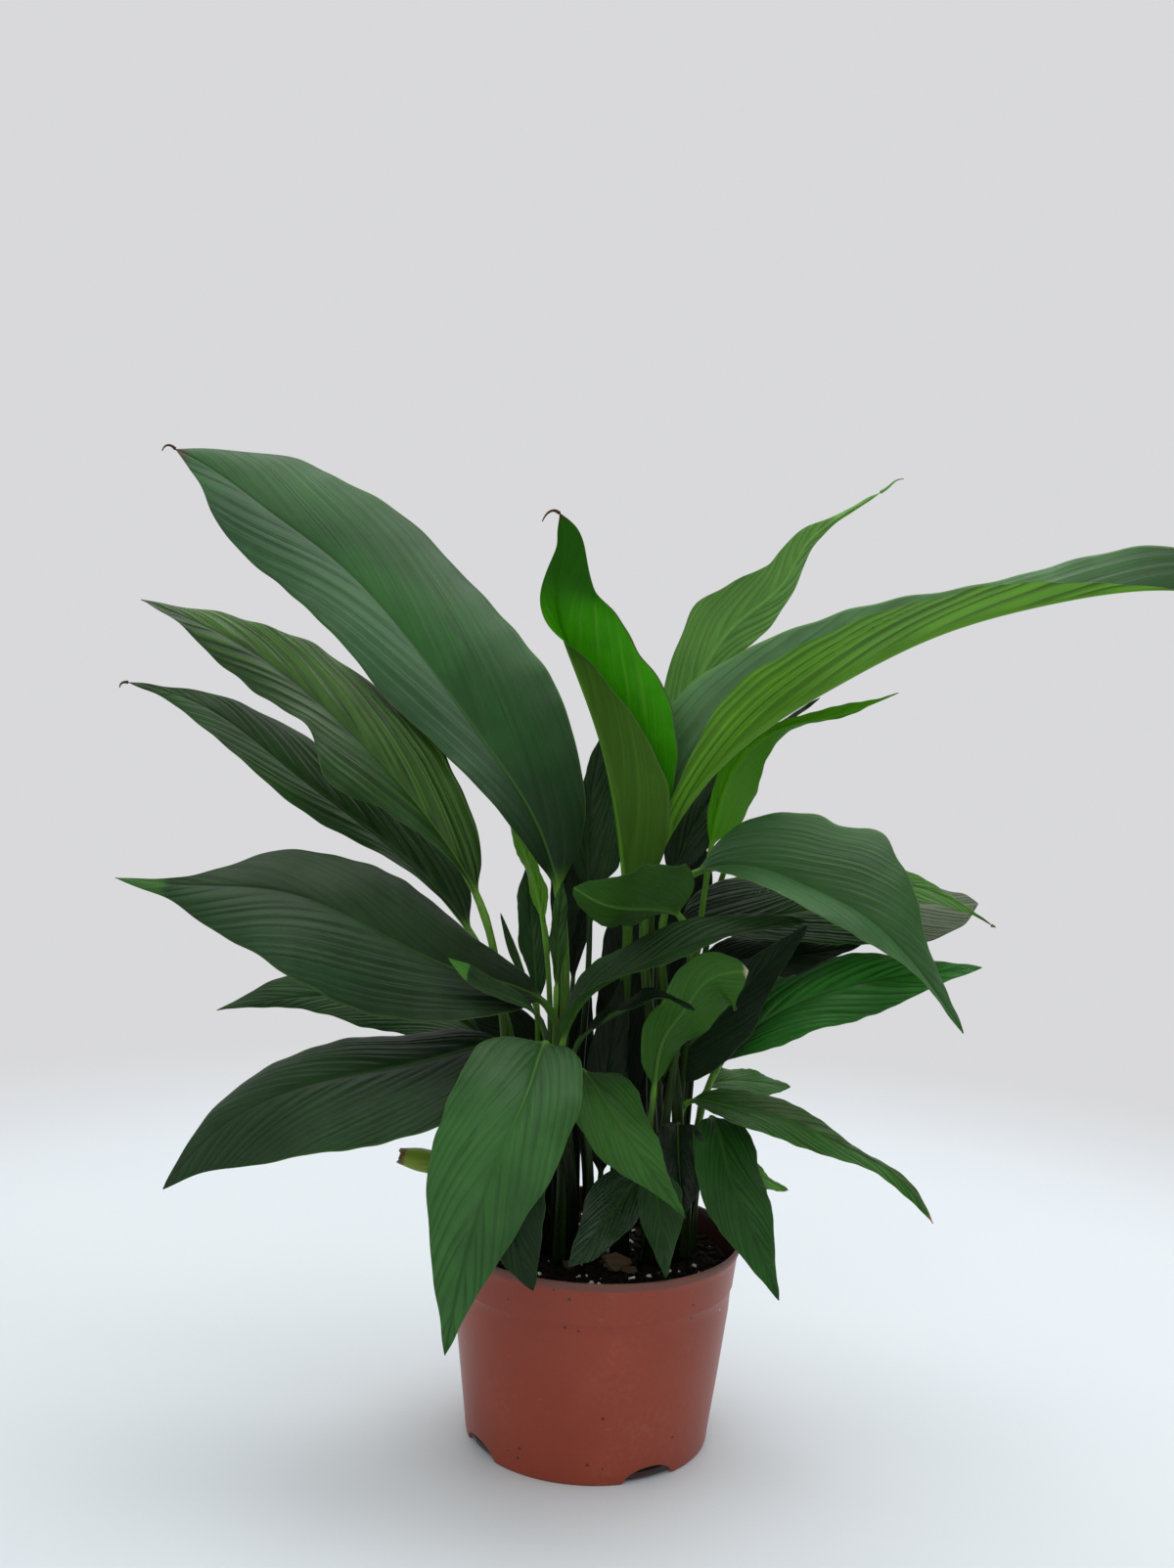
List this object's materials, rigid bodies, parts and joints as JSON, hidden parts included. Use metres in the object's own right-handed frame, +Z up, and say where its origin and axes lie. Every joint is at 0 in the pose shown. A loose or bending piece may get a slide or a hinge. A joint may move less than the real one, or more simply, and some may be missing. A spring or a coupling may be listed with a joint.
{
  "type": "potted peace lily",
  "caption": "Peace lily foliage plant: broad pointed ribbed leaves on slender stalks, arching from two clumps in a tapered plastic nursery pot with a rolled rim.",
  "frame": {"origin": "middle of the pot's flat underside, on the surface it stands on", "axes": "+Z up, the plant's front faces -Y, the longest leaf reaches towards +X"},
  "size_m": [0.4739, 0.1781, 0.4388],
  "materials": {
    "pot_plastic": "thin moulded terracotta plastic with a soft sheen",
    "growing_mix": "dark damp peat with pale grains",
    "leaf_green": "ribbed satin leaf",
    "leaf_lime": "young ribbed satin leaf"
  },
  "bodies": {
    "root": {"pot": "pot_plastic", "soil": "growing_mix", "leaf_tall_left": "leaf_green", "leaf_left_upper": "leaf_green", "leaf_left_middle": "leaf_green", "leaf_left_broad": "leaf_green", "leaf_left_behind": "leaf_green", "leaf_left_lowest": "leaf_green", "leaf_front_left": "leaf_green", "leaf_front_under": "leaf_green", "leaf_front_center": "leaf_green", "leaf_behind_stalks": "leaf_green", "leaf_short_lime": "leaf_green", "leaf_upright_dark": "leaf_green", "leaf_arching_dark": "leaf_green", "leaf_narrow_hook": "leaf_green", "leaf_sheath_tip": "leaf_green", "leaf_narrow_upright": "leaf_green", "leaf_core_front": "leaf_green", "leaf_core_back": "leaf_green", "leaf_core_left": "leaf_green", "leaf_core_tall": "leaf_green", "leaf_right_shadow": "leaf_green", "leaf_small_bract": "leaf_green", "leaf_rolled_young": "leaf_lime", "leaf_long_right": "leaf_green", "leaf_back_upper": "leaf_green", "leaf_backlit": "leaf_green", "leaf_striped_back": "leaf_green", "leaf_right_broad": "leaf_green", "leaf_left_turn": "leaf_green", "leaf_folded_dark": "leaf_green", "leaf_curled_under": "leaf_green", "leaf_right_green": "leaf_green", "leaf_striped_grey": "leaf_green", "leaf_green_tip": "leaf_green", "leaf_right_low": "leaf_green", "leaf_right_small": "leaf_green", "leaf_soil_shiny": "leaf_green", "leaf_pointing_down": "leaf_green", "leaf_heart_dark": "leaf_green", "leaf_front_right": "leaf_green", "leaf_right_peek": "leaf_green", "cut_stalk": "leaf_lime"}
  },
  "joints": []
}
